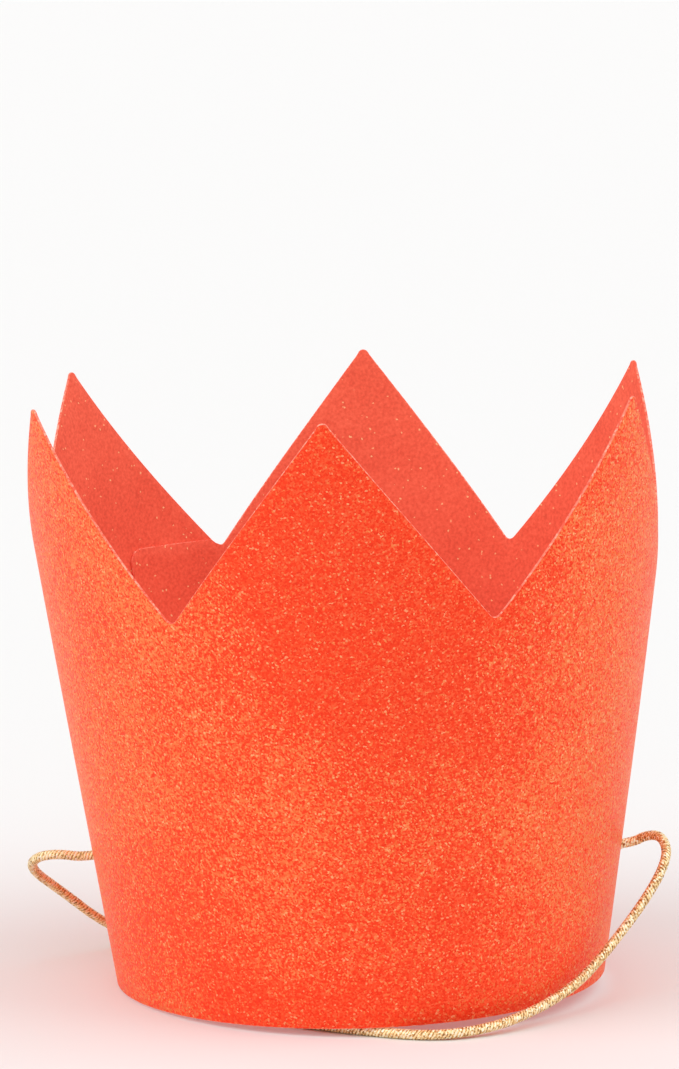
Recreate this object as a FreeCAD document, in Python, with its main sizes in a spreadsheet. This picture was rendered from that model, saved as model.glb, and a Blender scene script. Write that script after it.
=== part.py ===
import FreeCAD, Part
import math
import os

import Sketcher

# Paper party crown: one die-cut card rolled into a flared ring with a glued flap,
# and a thin elastic cord whose two ends are knotted inside two punched holes.
# Millimetres and degrees. The origin is on the surface that the crown stands on,
# below the centre of its head opening, with +Z up and -Y the front.
# A bearing is an angle in plan from the front, towards +X.

Vector = FreeCAD.Vector
Placement = FreeCAD.Placement
Rotation = FreeCAD.Rotation
UP = Vector(0, 0, 1)

doc = FreeCAD.newDocument("paper_crown")

# Driving dimensions
SIZES = [
    ("base_radius", 39.5, "outside of the lower rim"),
    ("flare_angle", 8.67, "slope of the wall from the vertical"),
    ("card_thickness", 0.4, "glitter card"),
    ("point_count", 6, "points round the crown"),
    ("point_height", 95.8, "lower rim to the tips"),
    ("valley_height", 64.4, "lower rim to the bottom of a notch"),
    ("point_round", 1.0, "rounding of a tip"),
    ("valley_round", 1.2, "rounding at the bottom of a notch"),
    ("trim_margin", 2.0, "card above the tips, before the notches are cut"),
    ("front_bearing", -3.74, "bearing of the foremost point"),
    ("flap_angle", 22.0, "width of the glued flap"),
    ("flap_rise", 1.0, "flap's upper edge above the bottom of a notch"),
    ("seam_run", 60.0, "stretch over which the card steps in under its own end"),
    ("hole_radius", 1.4, "punched cord hole"),
    ("hole_height", 20.0, "lower rim to the middle of a hole"),
    ("cord_diameter", 1.6, "elastic cord"),
    ("front_crossing", 6.0, "bearing at which the cord comes out under the rim"),
    ("back_crossing", 140.0, "bearing at which the cord goes in under the rim"),
    ("rest_clearance", 0.05, "between touching pieces"),
    ("knot_radius", 1.9, "knot that stops the cord in its hole"),
    ("knot_face_radius", 1.0, "where the cord leaves the knot"),
]

sizes = doc.addObject("Spreadsheet::Sheet", "Sizes")
for row, (alias, number, note) in enumerate(SIZES, start=1):
    sizes.set(f"A{row}", alias)
    sizes.set(f"B{row}", str(number))
    sizes.set(f"C{row}", note)
    sizes.setAlias(f"B{row}", alias)
doc.recompute()


def measure(expression):
    """Number that an expression on the sheet gives."""
    result = sizes.evalExpression(expression)
    return float(getattr(result, "Value", result))


# Expressions that several features share
THICK = "(Sizes.card_thickness / cos(Sizes.flare_angle))"
PITCH = "(360 / Sizes.point_count)"
FLAP_TOP = "(Sizes.valley_height + Sizes.flap_rise)"
WALL_TOP = "(Sizes.point_height + Sizes.trim_margin)"


def radius_at(height):
    """Expression for the outside radius of the wall at a height."""
    return f"(Sizes.base_radius + ({height}) * tan(Sizes.flare_angle))"


# Sketch helpers

def origin_plane(body, role):
    """Plane or axis of a body's own origin."""
    for feature in body.Origin.OriginFeatures:
        if feature.Role == role:
            return feature
    raise ValueError(role)


def new_sketch(body, name, role):
    """Empty sketch on one of a body's own planes."""
    sketch = body.newObject("Sketcher::SketchObject", name)
    sketch.AttachmentSupport = [(origin_plane(body, role), "")]
    sketch.MapMode = "FlatFace"
    return sketch


def bind(sketch, name, expression, kind, *places):
    """Add a dimension to a sketch and bind it to the sheet."""
    index = sketch.addConstraint(Sketcher.Constraint(kind, *places, measure(expression)))
    sketch.renameConstraint(index, name)
    sketch.setExpression(f"Constraints.{name}", expression)


def tie(sketch, kind, *places):
    """Add a constraint without a size to a sketch."""
    sketch.addConstraint(Sketcher.Constraint(kind, *places))


def arc(centre, radius, start, end):
    """Arc that runs anticlockwise from one angle to the other, in degrees."""
    circle = Part.Circle(Vector(*centre, 0), UP, radius)
    return Part.ArcOfCircle(circle, math.radians(start), math.radians(end))


# Places on a sketched curve, in the sketcher's own order
PLACES = ("curve", "start", "end", "centre")
START, END, CENTRE = map(PLACES.index, ("start", "end", "centre"))
ORIGIN = (-1, 1)
ACROSS, UPRIGHT = -1, -2


def rolled_outline(body, name, height, inset, flap):
    """Plan of the rolled card at one height, seam on +X.

    The card runs round at its full radius, then steps in by its own thickness
    over the last stretch. With a flap, that inner layer goes on past the seam.
    """
    outer = f"({radius_at(height)} - {inset})"
    inner = f"({outer} - {THICK})"
    turn_in = "(360 - Sizes.seam_run)"
    first = "Sizes.flap_angle" if flap else "0"
    sketch = new_sketch(body, name, "XY_Plane")
    sketch.setExpression("AttachmentOffset.Base.z", height)

    big, small = measure(outer), measure(inner)
    start, bend = measure(first), measure(turn_in)
    slope = math.cos(math.radians(360 - bend))
    shift = (big ** 2 - small ** 2) / (2 * (big - small * slope))
    centre = (shift * math.cos(math.radians(bend)), shift * math.sin(math.radians(bend)))
    arrival = 360 + math.degrees(math.atan2(-centre[1], small - centre[0]))

    main = sketch.addGeometry(arc((0, 0), big, start, bend))
    step_in = sketch.addGeometry(arc(centre, big - shift, bend, arrival))
    tie(sketch, "Coincident", main, CENTRE, *ORIGIN)
    bind(sketch, "main_radius", outer, "Radius", main)
    bind(sketch, "bend_across", f"{outer} * cos({turn_in})", "DistanceX", *ORIGIN, main, END)
    tie(sketch, "Tangent", step_in, START, main, END)
    tie(sketch, "PointOnObject", step_in, END, ACROSS)
    bind(sketch, "seam_radius", inner, "DistanceX", *ORIGIN, step_in, END)

    if flap:
        under = sketch.addGeometry(arc((0, 0), small, 0, start))
        tie(sketch, "Coincident", under, CENTRE, *ORIGIN)
        tie(sketch, "Coincident", under, START, step_in, END)
        bind(sketch, "flap_across", f"{inner} * cos({first})", "DistanceX", *ORIGIN, under, END)
        bind(sketch, "main_across", f"{outer} * cos({first})", "DistanceX", *ORIGIN, main, START)
        turn = math.radians(start)
        last, corner = under, Vector(small * math.cos(turn), small * math.sin(turn), 0)
    else:
        tie(sketch, "PointOnObject", main, START, ACROSS)
        last, corner = step_in, Vector(small, 0, 0)
    outer_corner = corner * (big / small)
    edge = sketch.addGeometry(Part.LineSegment(corner, outer_corner))
    tie(sketch, "Coincident", edge, START, last, END)
    tie(sketch, "Coincident", edge, END, main, START)
    return sketch


def loft(body, kind, name, bottom, top):
    """Straight loft between two plans of the rolled card."""
    feature = body.newObject(f"PartDesign::{kind}", name)
    feature.Profile = (bottom, [""])
    feature.Sections = [(top, [""])]
    feature.Ruled = True
    body.Tip = feature
    doc.recompute()
    return feature


def notch_outline(body):
    """Notch between two points, centred on +X, in side view.

    Each side is a straight cut on the flat card, which the rolled wall bends a
    little: it is drawn as an arc through the place half a point's width along.
    """
    valley, tip = "Sizes.valley_height", "Sizes.point_height"
    valley_radius, tip_radius = radius_at(valley), radius_at(tip)
    tip_across = f"({tip_radius} * sin({PITCH} / 2))"
    bend = f"cos({PITCH} / 4 * sin(Sizes.flare_angle))"
    middle_radius = f"(2 * {valley_radius} * {tip_radius} * {bend} / ({valley_radius} + {tip_radius}))"
    middle_across = f"({middle_radius} * sin({PITCH} / 4))"
    middle_up = f"(({middle_radius} - Sizes.base_radius) / tan(Sizes.flare_angle))"

    sketch = new_sketch(body, "NotchOutline", "YZ_Plane")
    foot, head = measure(valley), measure(tip)
    across, top = measure(tip_across), measure(WALL_TOP)
    bottom_round, tip_round = measure("Sizes.valley_round"), measure("Sizes.point_round")
    rise = math.degrees(math.atan2(head - foot, across))
    middle = Vector(measure(middle_across), measure(middle_up), 0)
    overlap = tip_round / 2
    outside = across + overlap

    bottom = sketch.addGeometry(arc((0, foot + bottom_round), bottom_round, 270 - rise, 270 + rise))
    tie(sketch, "PointOnObject", bottom, CENTRE, UPRIGHT)
    bind(sketch, "bottom_round", "Sizes.valley_round", "Radius", bottom)
    bind(sketch, "bottom_up", f"{valley} + Sizes.valley_round", "DistanceY", *ORIGIN, bottom, CENTRE)

    turn = math.radians(rise)
    inward, drop = math.sin(turn), 1 - math.cos(turn)
    corners = []
    for name, side in (("right", 1), ("left", -1)):
        low = Vector(side * bottom_round * inward, foot + bottom_round * drop, 0)
        high = Vector(side * (across - tip_round * inward), head - tip_round * drop, 0)
        cut = Part.Arc(low, Vector(side * middle.x, middle.y, 0), high)
        flank = sketch.addGeometry(cut)
        place = sketch.addGeometry(Part.Point(Vector(side * middle.x, middle.y, 0)), True)
        if side > 0:
            crest = sketch.addGeometry(arc((across, head - tip_round), tip_round, 90, 90 + rise))
            low_end, high_end, crest_top, crest_foot = START, END, START, END
            bottom_end = END
        else:
            crest = sketch.addGeometry(arc((-across, head - tip_round), tip_round, 90 - rise, 90))
            low_end, high_end, crest_top, crest_foot = END, START, END, START
            bottom_end = START
        tie(sketch, "Tangent", flank, low_end, bottom, bottom_end)
        tie(sketch, "Tangent", flank, high_end, crest, crest_foot)
        tie(sketch, "PointOnObject", place, START, flank)
        bind(sketch, f"{name}_round", "Sizes.point_round", "Radius", crest)
        tip_ends = (*ORIGIN, crest, CENTRE) if side > 0 else (crest, CENTRE, *ORIGIN)
        middle_ends = (*ORIGIN, place, START) if side > 0 else (place, START, *ORIGIN)
        bind(sketch, f"{name}_tip_across", tip_across, "DistanceX", *tip_ends)
        bind(sketch, f"{name}_tip_up", f"{tip} - Sizes.point_round", "DistanceY", *ORIGIN, crest, CENTRE)
        bind(sketch, f"{name}_middle_across", middle_across, "DistanceX", *middle_ends)
        bind(sketch, f"{name}_middle_up", middle_up, "DistanceY", *ORIGIN, place, START)
        tie(sketch, "Vertical", crest, CENTRE, crest, crest_top)

        summit, shelf_end = Vector(side * across, head, 0), Vector(side * outside, head, 0)
        shelf = sketch.addGeometry(Part.LineSegment(summit, shelf_end))
        wall = sketch.addGeometry(Part.LineSegment(shelf_end, Vector(side * outside, top, 0)))
        tie(sketch, "Coincident", shelf, START, crest, crest_top)
        tie(sketch, "Horizontal", shelf)
        tie(sketch, "Coincident", shelf, END, wall, START)
        tie(sketch, "Vertical", wall)
        bind(sketch, f"{name}_overlap", "Sizes.point_round / 2", "Distance", shelf)
        bind(sketch, f"{name}_top", f"{WALL_TOP} + Sizes.trim_margin", "DistanceY", *ORIGIN, wall, END)
        corners.append(wall)

    lid = sketch.addGeometry(Part.LineSegment(Vector(outside, top, 0), Vector(-outside, top, 0)))
    tie(sketch, "Coincident", lid, START, corners[0], END)
    tie(sketch, "Coincident", lid, END, corners[1], END)
    return sketch


def pocket(body, name, sketch, length, midplane=False):
    """Cut a sketch outwards from the crown's axis, or both ways from it."""
    feature = body.newObject("PartDesign::Pocket", name)
    feature.Profile = (sketch, [""])
    feature.Type = "Length"
    feature.setExpression("Length", length)
    if midplane:
        feature.Midplane = True
    else:
        feature.Reversed = True
    body.Tip = feature
    doc.recompute()
    return feature


def removed(body, before, what):
    """A cut has to take something away."""
    after = body.Shape.Volume
    if not 0 < after < before:
        raise ValueError(f"{what} cut nothing: {before:.1f} to {after:.1f}")
    return after


# Crown wall: the rolled card, its points, its flap and its two cord holes

def make_wall():
    """The rolled card with all its cuts."""
    body = doc.addObject("PartDesign::Body", "CrownWall")
    body.Label = "crown_wall"
    foot = rolled_outline(body, "WallFoot", "0", "0", flap=False)
    head = rolled_outline(body, "WallHead", WALL_TOP, "0", flap=False)
    loft(body, "AdditiveLoft", "Roll", foot, head)
    volume = body.Shape.Volume

    notch = pocket(body, "Notch", notch_outline(body), f"{radius_at(WALL_TOP)} + Sizes.trim_margin")
    volume = removed(body, volume, "notch")
    notches = body.newObject("PartDesign::PolarPattern", "Notches")
    notches.Originals = [notch]
    notches.Axis = (origin_plane(body, "Z_Axis"), [""])
    notches.Angle = 360
    notches.setExpression("Occurrences", "Sizes.point_count")
    body.Tip = notches
    doc.recompute()
    volume = removed(body, volume, "notches")

    low_foot = rolled_outline(body, "HollowFoot", "0", THICK, flap=True)
    low_head = rolled_outline(body, "HollowFlapTop", FLAP_TOP, THICK, flap=True)
    loft(body, "SubtractiveLoft", "HollowBesideFlap", low_foot, low_head)
    volume = removed(body, volume, "hollow beside the flap")
    high_foot = rolled_outline(body, "HollowUpperFoot", FLAP_TOP, THICK, flap=False)
    high_head = rolled_outline(body, "HollowUpperHead", WALL_TOP, THICK, flap=False)
    loft(body, "SubtractiveLoft", "HollowAboveFlap", high_foot, high_head)
    volume = removed(body, volume, "hollow above the flap")

    circle = new_sketch(body, "HoleOutline", "YZ_Plane")
    circle.AttachmentOffset = Placement(Vector(), Rotation(Vector(0, 1, 0), measure(PITCH)))
    circle.setExpression("AttachmentOffset.Rotation.Angle", PITCH)
    middle = Vector(0, measure("Sizes.hole_height"), 0)
    ring = circle.addGeometry(Part.Circle(middle, UP, measure("Sizes.hole_radius")))
    tie(circle, "PointOnObject", ring, CENTRE, UPRIGHT)
    bind(circle, "hole_up", "Sizes.hole_height", "DistanceY", *ORIGIN, ring, CENTRE)
    bind(circle, "hole_size", "Sizes.hole_radius", "Radius", ring)
    pocket(body, "CordHoles", circle, f"2 * {radius_at(WALL_TOP)}", midplane=True)
    removed(body, volume, "cord holes")
    return body


# Where the crown stands: its rim rests on the cord at two crossings and on the
# surface at one place, which lifts the side between the crossings.

HALF_SPAN = "((Sizes.back_crossing - Sizes.front_crossing) / 2)"
LIFT = f"((Sizes.cord_diameter + Sizes.rest_clearance) / (1 + cos({HALF_SPAN})))"
TILT = f"asin({LIFT} / Sizes.base_radius)"


def direction(bearing):
    """Level direction at a bearing."""
    angle = math.radians(bearing)
    return Vector(math.sin(angle), -math.cos(angle), 0)


def stance():
    """Placement of the crown's own frame, seam on +X, on the surface."""
    raised = direction(measure("(Sizes.front_crossing + Sizes.back_crossing) / 2"))
    seam = measure(f"Sizes.front_bearing - {PITCH} * 2.5")
    lean = Placement(Vector(0, 0, measure(LIFT)), Rotation(raised.cross(UP), measure(TILT)))
    return lean * Placement(Vector(), Rotation(UP, seam - 90))


def hole_frame(half_turns):
    """Middle of a hole on the wall's inside, and the card's outward normal there."""
    place = stance()
    flare = math.radians(measure("Sizes.flare_angle"))
    angle = math.radians(measure(PITCH) + 180 * half_turns)
    out = Vector(math.cos(flare) * math.cos(angle), math.cos(flare) * math.sin(angle), -math.sin(flare))
    radius = measure(f"{radius_at('Sizes.hole_height')} - {THICK}")
    middle = Vector(radius * math.cos(angle), radius * math.sin(angle), measure("Sizes.hole_height"))
    return place.multVec(middle), place.Rotation.multVec(out)


# Elastic cord, from the left hole round the back of the crown, in under the rim,
# out under its front and up to the right hole. Each point gives x and y, and the
# height of the cord's underside.

ROUTE = [
    (-45.4, 3.0, 18.7),
    (-48.9, 3.1, 19.2),
    (-52.2, 4.3, 18.6),
    (-53.8, 7.4, 16.8),
    (-53.4, 11.4, 14.4),
    (-51.2, 15.0, 11.8),
    (-48.0, 17.4, 8.8),
    (-44.2, 19.6, 5.2),
    (-39.6, 23.2, 1.7),
    (-33.8, 29.4, 0.0),
    (-26.4, 36.4, 0.0),
    (-16.8, 42.4, 0.0),
    (-5.6, 46.8, 0.0),
    (6.4, 49.0, 0.0),
    (17.6, 48.6, 0.0),
    (25.8, 44.2, 0.0),
    (28.0, 35.8, 0.0),
    (22.8, 24.7, 0.0),
    (14.6, 15.2, 0.0),
    (3.5, 9.5, 0.0),
    (-9.5, 5.5, 0.0),
    (-20.0, -1.4, 0.0),
    (-24.6, -12.5, 0.0),
    (-20.5, -23.5, 0.0),
    (-12.0, -31.4, 0.0),
    (-2.4, -36.8, 0.0),
    (10.6, -41.7, 0.0),
    (20.2, -38.0, 0.5),
    (27.8, -31.4, 2.0),
    (33.8, -24.6, 4.2),
    (38.0, -19.8, 7.5),
    (42.0, -17.0, 11.9),
    (45.4, -15.0, 16.2),
    (47.9, -12.6, 20.0),
    (48.9, -9.2, 22.4),
    (48.0, -6.0, 24.1),
    (45.8, -3.6, 23.6),
    (43.8, -2.7, 22.3),
]
ARC_SHARE = 0.45


def knot_centre(middle, out):
    """A round knot seats on the edge of its hole."""
    seat = math.sqrt(measure("Sizes.knot_radius^2 - Sizes.hole_radius^2"))
    return middle - out * (seat + measure("Sizes.rest_clearance"))


def knot_placement(half_turns, towards):
    """Placement of a knot, its flat turned to where the cord goes."""
    centre = knot_centre(*hole_frame(half_turns))
    return Placement(centre, Rotation(UP, towards - centre))


def make_knot(name, label, placement):
    """Round knot, cut flat where the cord leaves it, at +Z."""
    body = doc.addObject("PartDesign::Body", name)
    body.Label = label
    face = measure("Sizes.knot_face_radius")
    radius = measure("Sizes.knot_radius")
    level = math.sqrt(radius ** 2 - face ** 2)
    sketch = new_sketch(body, f"{name}Outline", "XZ_Plane")
    bulge = sketch.addGeometry(arc((0, 0), radius, -90, math.degrees(math.asin(level / radius))))
    flat = sketch.addGeometry(Part.LineSegment(Vector(face, level, 0), Vector(0, level, 0)))
    axis = sketch.addGeometry(Part.LineSegment(Vector(0, level, 0), Vector(0, -radius, 0)))
    tie(sketch, "Coincident", bulge, CENTRE, *ORIGIN)
    bind(sketch, "knot_size", "Sizes.knot_radius", "Radius", bulge)
    tie(sketch, "PointOnObject", bulge, START, UPRIGHT)
    bind(sketch, "face_size", "Sizes.knot_face_radius", "DistanceX", *ORIGIN, bulge, END)
    tie(sketch, "Coincident", flat, START, bulge, END)
    tie(sketch, "Horizontal", flat)
    tie(sketch, "PointOnObject", flat, END, UPRIGHT)
    tie(sketch, "Coincident", axis, START, flat, END)
    tie(sketch, "Coincident", axis, END, bulge, START)
    turn = body.newObject("PartDesign::Revolution", f"{name}Turn")
    turn.Profile = (sketch, [""])
    turn.ReferenceAxis = (sketch, ["V_Axis"])
    turn.Angle = 360
    body.Tip = turn
    body.Placement = placement
    return body


def rounded_path(points):
    """Straight runs joined by arcs as large as their runs allow."""
    edges = []
    radii = []
    start = points[0]
    for before, corner, after in zip(points, points[1:], points[2:]):
        back, ahead = before - corner, after - corner
        half_turn = (math.pi - back.getAngle(ahead)) / 2
        setback = ARC_SHARE * min(back.Length, ahead.Length)
        radius = setback / math.tan(half_turn)
        back.normalize()
        ahead.normalize()
        first, last = corner + back * setback, corner + ahead * setback
        towards = back + ahead
        towards.normalize()
        middle = corner + towards * (radius / math.cos(half_turn) - radius)
        edges.append(Part.LineSegment(start, first).toShape())
        edges.append(Part.Arc(first, middle, last).toShape())
        radii.append(radius)
        start = last
    edges.append(Part.LineSegment(start, points[-1]).toShape())
    return Part.Wire(edges), radii


def make_cord(knots):
    """The cord as one smooth tube from knot to knot."""
    half = measure("Sizes.cord_diameter / 2")
    level = math.sqrt(measure("Sizes.knot_radius^2 - Sizes.knot_face_radius^2"))
    listed = [Vector(x, y, underside + half) for x, y, underside in ROUTE]
    ends = [place.multVec(Vector(0, 0, level)) for place in knots]
    points = [ends[0]] + listed + [ends[1]]
    path, radii = rounded_path(points)
    section = Part.Wire(Part.Circle(points[0], points[1] - points[0], half).toShape())
    tube = path.makePipeShell([section], True, False)
    exact = math.pi * half ** 2 * path.Length
    print(f"cord length {path.Length:.1f}, volume {tube.Volume:.1f} of {exact:.1f}")
    print("cord radii", [round(radius, 1) for radius in radii])
    if abs(tube.Volume / exact - 1) > 0.01:
        raise ValueError("the cord's volume is not its section times its length")
    cord = doc.addObject("Part::Feature", "ElasticCord")
    cord.Label = "elastic_cord"
    cord.Shape = tube
    return cord


def route_end(index):
    """Middle of the cord at one end of its route."""
    x, y, underside = ROUTE[index]
    return Vector(x, y, underside + measure("Sizes.cord_diameter / 2"))


wall = make_wall()
wall.Placement = stance()
left_knot = knot_placement(0, route_end(0))
right_knot = knot_placement(1, route_end(-1))
pieces = [
    wall,
    make_cord([left_knot, right_knot]),
    make_knot("KnotLeft", "knot_left", left_knot),
    make_knot("KnotRight", "knot_right", right_knot),
]
doc.recompute()

for item in doc.Objects:
    if "Invalid" in item.State or "Error" in item.State:
        raise ValueError(f"{item.Name} failed: {item.State}")

os.makedirs("parts", exist_ok=True)
for piece in pieces:
    shape = piece.Shape
    if shape.isNull() or not shape.isValid():
        raise ValueError(f"{piece.Label} has no sound shape")
    print(f"{piece.Label}: {len(shape.Solids)} solid, volume {shape.Volume:.1f}, {shape.BoundBox}")
    shape.exportStep(f"parts/{piece.Label}.step")
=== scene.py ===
import logging
import math
from dataclasses import dataclass
from enum import IntEnum
from typing import Callable, ClassVar, Sequence

import bpy
import numpy as np
from mathutils import Matrix, Vector


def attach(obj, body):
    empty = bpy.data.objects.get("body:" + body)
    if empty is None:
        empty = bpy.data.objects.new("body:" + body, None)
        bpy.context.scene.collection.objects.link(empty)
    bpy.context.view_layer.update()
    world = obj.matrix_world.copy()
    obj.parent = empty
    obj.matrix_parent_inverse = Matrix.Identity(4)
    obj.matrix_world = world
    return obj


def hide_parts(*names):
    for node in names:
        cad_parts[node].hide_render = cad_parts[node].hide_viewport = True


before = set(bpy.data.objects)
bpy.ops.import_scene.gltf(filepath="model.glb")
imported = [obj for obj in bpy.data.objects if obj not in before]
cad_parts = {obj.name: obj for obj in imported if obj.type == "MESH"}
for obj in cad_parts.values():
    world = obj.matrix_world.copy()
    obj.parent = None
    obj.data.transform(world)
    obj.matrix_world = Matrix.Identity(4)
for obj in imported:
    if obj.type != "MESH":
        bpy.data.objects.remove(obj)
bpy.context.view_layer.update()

# A party crown of glitter card with its thin elastic cord, in metres.
# The crown's own frame has its origin at the middle of the lower rim, its axis along +Z and its
# seam on +X. A bearing is an angle in plan from the front, -Y, towards +X.

LOG = logging.getLogger("paper_crown")
MM = 0.001
UP = Vector((0.0, 0.0, 1.0))
FULL_TURN = 2 * math.pi
Points = Sequence[Sequence[float]]
Colour = tuple[float, float, float, float]
Socket = bpy.types.NodeSocket


class CardFace(IntEnum):
    """The three finishes of the card, as the places of its material slots."""

    GLITTER = 0
    INSIDE = 1
    CUT = 2


class Hole(IntEnum):
    """The two cord holes, by their number of half turns from the first."""

    LEFT = 0
    RIGHT = 1


# Shared helpers


def deselect_all() -> None:
    """Leave nothing selected, so that an operator acts only on its own piece."""
    bpy.ops.object.select_all(action="DESELECT")


def make_active(piece: bpy.types.Object) -> None:
    """Select one piece and make it active.

    Args:
        piece: The object that the next operators act on.
    """
    deselect_all()
    piece.select_set(True)
    bpy.context.view_layer.objects.active = piece


def apply_modifier(piece: bpy.types.Object, kind: str, **settings: object) -> None:
    """Add a modifier to a piece and apply it.

    Args:
        piece: The object that gets the modifier.
        kind: Blender's name for the modifier's type.
        **settings: The modifier's own settings.
    """
    make_active(piece)
    modifier = piece.modifiers.new(kind.title(), kind)
    for name, value in settings.items():
        setattr(modifier, name, value)
    bpy.ops.object.modifier_apply(modifier=modifier.name)


def direction(bearing: float) -> Vector:
    """Level direction at a bearing in degrees."""
    angle = math.radians(bearing)
    return Vector((math.sin(angle), -math.cos(angle), 0.0))


def linear(red: int, green: int, blue: int) -> Colour:
    """Turn a colour as it is seen, 0 to 255, into a linear colour.

    Args:
        red: Red as seen.
        green: Green as seen.
        blue: Blue as seen.

    Returns:
        The linear colour, opaque.
    """
    parts = []
    for value in (red, green, blue):
        share = value / 255
        parts.append(share / 12.92 if share <= 0.04045 else ((share + 0.055) / 1.055) ** 2.4)
    return (*parts, 1.0)


class NodeBuilder:
    """Adds and links the nodes of one material or world."""

    def __init__(self, tree: bpy.types.NodeTree) -> None:
        """Start from an empty tree.

        Args:
            tree: The node tree to fill.
        """
        self.tree = tree
        tree.nodes.clear()

    def add(self, kind: str, **settings: object) -> bpy.types.Node:
        """Add a node.

        Args:
            kind: The node's type.
            **settings: The node's own properties.

        Returns:
            The new node.
        """
        node = self.tree.nodes.new(kind)
        for name, value in settings.items():
            setattr(node, name, value)
        return node

    def link(self, source: Socket, target: Socket) -> None:
        """Link an output to an input."""
        self.tree.links.new(source, target)

    def math(
        self, operation: str, first: Socket | float, second: Socket | float = 0.0, clamp: bool = False,
    ) -> Socket:
        """Add a Math node.

        Args:
            operation: The node's operation.
            first: A socket or a number.
            second: A socket or a number.
            clamp: Whether the result is kept from 0 to 1.

        Returns:
            The node's output.
        """
        node = self.add("ShaderNodeMath", operation=operation, use_clamp=clamp)
        for place, value in enumerate((first, second)):
            if isinstance(value, Socket):
                self.link(value, node.inputs[place])
            else:
                node.inputs[place].default_value = value
        return node.outputs[0]

    def ramp(self, factor: Socket, stops: Sequence[tuple[float, Colour]], steps: bool = False) -> Socket:
        """Add a Color Ramp.

        Args:
            factor: What picks the colour.
            stops: Each place from 0 to 1 and its colour.
            steps: Whether the colours change in steps.

        Returns:
            The ramp's colour.
        """
        node = self.add("ShaderNodeValToRGB")
        node.color_ramp.interpolation = "CONSTANT" if steps else "LINEAR"
        elements = node.color_ramp.elements
        while len(elements) < len(stops):
            elements.new(1.0)
        for element, (place, colour) in zip(elements, stops):
            element.position = place
            element.color = colour
        self.link(factor, node.inputs["Fac"])
        return node.outputs["Color"]

    def mix(self, factor: Socket, first: Socket, second: Socket | Colour) -> Socket:
        """Mix two colours.

        Args:
            factor: Share of the second colour.
            first: The first colour's source.
            second: The second colour, or its source.

        Returns:
            The mixed colour.
        """
        node = self.add("ShaderNodeMix", data_type="RGBA")
        self.link(factor, node.inputs["Factor"])
        self.link(first, node.inputs["A"])
        if isinstance(second, Socket):
            self.link(second, node.inputs["B"])
        else:
            node.inputs["B"].default_value = second
        return node.outputs["Result"]

    def noise(self, place: Socket, width: float, detail: float = 2.0, roughness: float = 0.5) -> Socket:
        """Add soft noise.

        Args:
            place: Where on the piece it is read.
            width: Width of its clouds.
            detail: How many finer layers it has.
            roughness: How strong those layers are.

        Returns:
            The noise, about 0.5 in the mean.
        """
        node = self.add("ShaderNodeTexNoise")
        for name, value in (("Scale", 1 / width), ("Detail", detail), ("Roughness", roughness)):
            node.inputs[name].default_value = value
        self.link(place, node.inputs["Vector"])
        return node.outputs["Fac"]

    def grains(self, place: Socket, width: float) -> tuple[Socket, Socket, Socket]:
        """Divide the surface into small grains.

        Args:
            place: Where on the piece they are read.
            width: Width of a grain.

        Returns:
            A random colour for each grain, and two random numbers for it.
        """
        cells = self.add("ShaderNodeTexVoronoi", feature="F1")
        cells.inputs["Scale"].default_value = 1 / width
        self.link(place, cells.inputs["Vector"])
        random = self.add("ShaderNodeSeparateColor")
        self.link(cells.outputs["Color"], random.inputs["Color"])
        return cells.outputs["Color"], random.outputs["Red"], random.outputs["Blue"]

    def spread(self, source: Socket, low: float, high: float, least: float, most: float) -> Socket:
        """Spread a value's range from low to high over least to most.

        Args:
            source: The value.
            low: The value that gives the least result.
            high: The value that gives the most.
            least: The least result.
            most: The greatest result.

        Returns:
            The result.
        """
        node = self.add("ShaderNodeMapRange", clamp=True)
        self.link(source, node.inputs["Value"])
        for name, value in (("From Min", low), ("From Max", high), ("To Min", least), ("To Max", most)):
            node.inputs[name].default_value = value
        return node.outputs["Result"]

    def lean(self, random: Socket, amount: float) -> Socket:
        """Lean the surface's normal by a random colour, one for each grain.

        Args:
            random: The random colour.
            amount: How far a grain can lean.

        Returns:
            The leaning normal.
        """
        centred = self.add("ShaderNodeVectorMath", operation="SUBTRACT")
        self.link(random, centred.inputs[0])
        centred.inputs[1].default_value = (0.5, 0.5, 0.5)
        scaled = self.add("ShaderNodeVectorMath", operation="SCALE")
        self.link(centred.outputs[0], scaled.inputs[0])
        scaled.inputs["Scale"].default_value = 2 * amount
        normal = self.add("ShaderNodeVectorMath", operation="ADD")
        self.link(self.add("ShaderNodeNewGeometry").outputs["Normal"], normal.inputs[0])
        self.link(scaled.outputs[0], normal.inputs[1])
        unit = self.add("ShaderNodeVectorMath", operation="NORMALIZE")
        self.link(normal.outputs[0], unit.inputs[0])
        return unit.outputs[0]

    def shader(self, **inputs: object) -> bpy.types.Node:
        """Add a Principled shader and its output.

        Args:
            **inputs: Each socket's name, with underscores for spaces, and its number, colour or source.

        Returns:
            The shader's node.
        """
        node = self.add("ShaderNodeBsdfPrincipled")
        output = self.add("ShaderNodeOutputMaterial")
        self.link(node.outputs["BSDF"], output.inputs["Surface"])
        for name, value in inputs.items():
            socket = node.inputs[name.replace("_", " ")]
            if isinstance(value, Socket):
                self.link(value, socket)
            else:
                socket.default_value = value
        return node


def new_material(name: str) -> tuple[bpy.types.Material, NodeBuilder]:
    """Make an empty material with nodes.

    Args:
        name: The material's name.

    Returns:
        The material, and the builder of its nodes.
    """
    material = bpy.data.materials.new(name)
    material.use_nodes = True
    return material, NodeBuilder(material.node_tree)


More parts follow.
